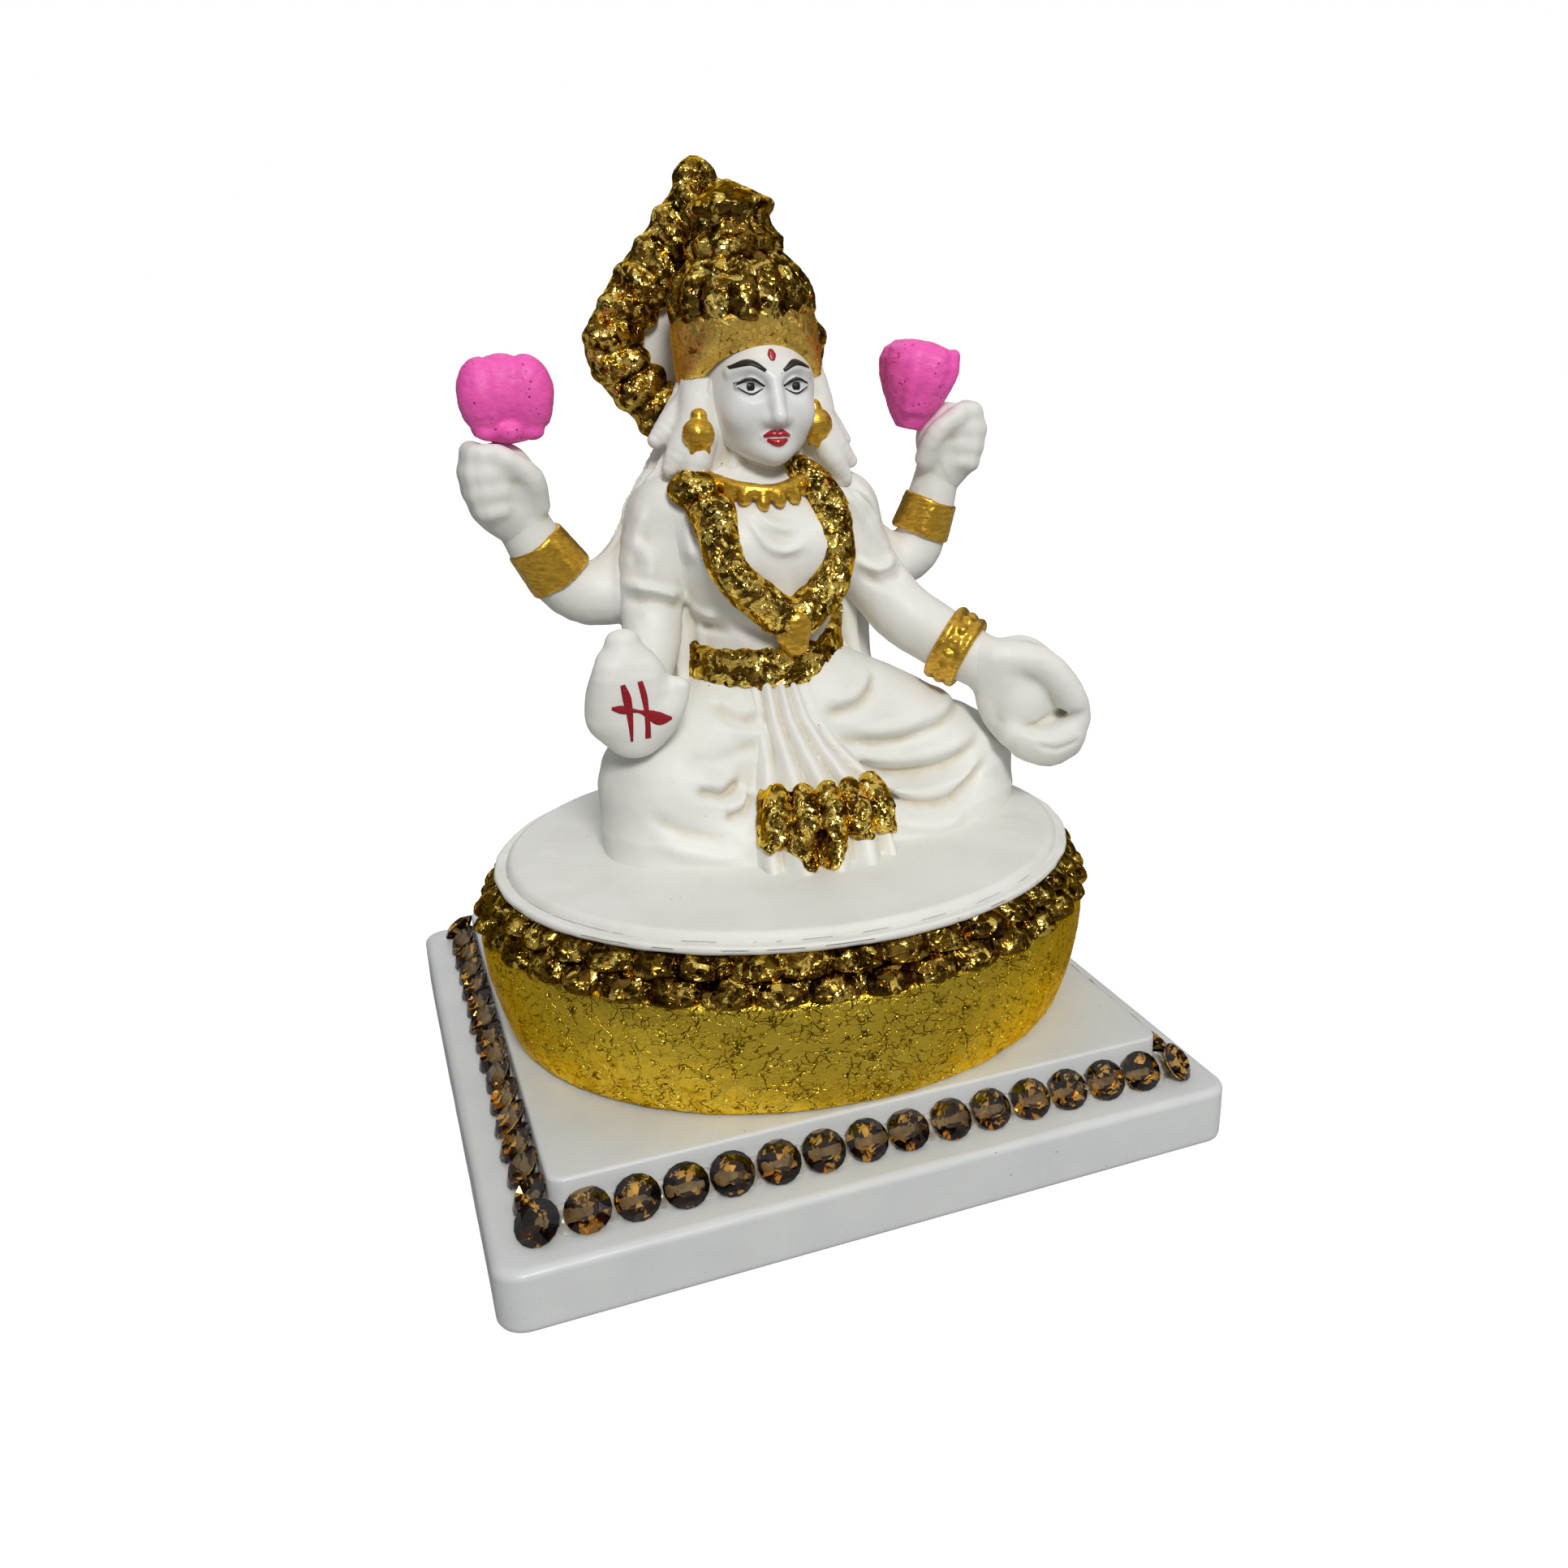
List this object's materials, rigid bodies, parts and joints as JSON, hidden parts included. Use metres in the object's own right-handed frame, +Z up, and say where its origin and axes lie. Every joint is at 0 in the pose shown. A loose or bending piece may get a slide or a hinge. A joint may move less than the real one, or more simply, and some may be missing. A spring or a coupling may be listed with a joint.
{
  "type": "deity figurine",
  "caption": "Seated four-armed deity figurine in white cast resin with gold leaf, on an oval petal pedestal and a stepped square base edged with faceted glass stones",
  "frame": {"origin": "centre of the underside of the square base", "axes": "+Z up, -Y is the side the figure faces, +X to the right as seen from the front"},
  "size_m": [0.072, 0.072, 0.0947],
  "materials": {
    "plate_resin": "satin",
    "figure_resin": "matte",
    "gold_leaf": "gloss",
    "gold_paint": "satin",
    "pink_paint": "matte",
    "stone_glass": "gloss"
  },
  "bodies": {
    "root": {"base_plate": "plate_resin", "riser_plate": "plate_resin", "stone_row_front": "stone_glass", "stone_row_right": "stone_glass", "stone_row_back": "stone_glass", "stone_row_left": "stone_glass", "pedestal_drum": "gold_leaf", "petal_rim_lower": "gold_leaf", "petal_rim_upper": "gold_leaf", "seat_lip": "figure_resin", "seat_disc": "figure_resin", "crossed_legs": "figure_resin", "torso": "figure_resin", "head": "figure_resin", "front_arm_left": "figure_resin", "back_arm_left": "figure_resin", "front_hand_left": "figure_resin", "back_hand_left": "figure_resin", "front_arm_right": "figure_resin", "back_arm_right": "figure_resin", "front_hand_right": "figure_resin", "back_hand_right": "figure_resin", "sari_pleats": "figure_resin", "pleat_hem": "gold_leaf", "waist_belt": "gold_leaf", "garland": "gold_leaf", "garland_pendant": "gold_leaf", "choker": "gold_paint", "earring_left": "gold_paint", "earring_right": "gold_paint", "crown_band": "gold_leaf", "crown_dome": "gold_leaf", "crown_finial": "gold_leaf", "halo_border": "gold_leaf", "halo_plate": "figure_resin", "halo_bulb": "gold_leaf", "lotus_bud_left": "pink_paint", "lotus_bud_right": "pink_paint", "bracelet_left": "gold_paint", "bracelet_right": "gold_paint", "bangle_right": "gold_paint", "hair_lock_left": "figure_resin", "hair_lock_right": "figure_resin", "drape_back": "figure_resin"}
  },
  "joints": []
}
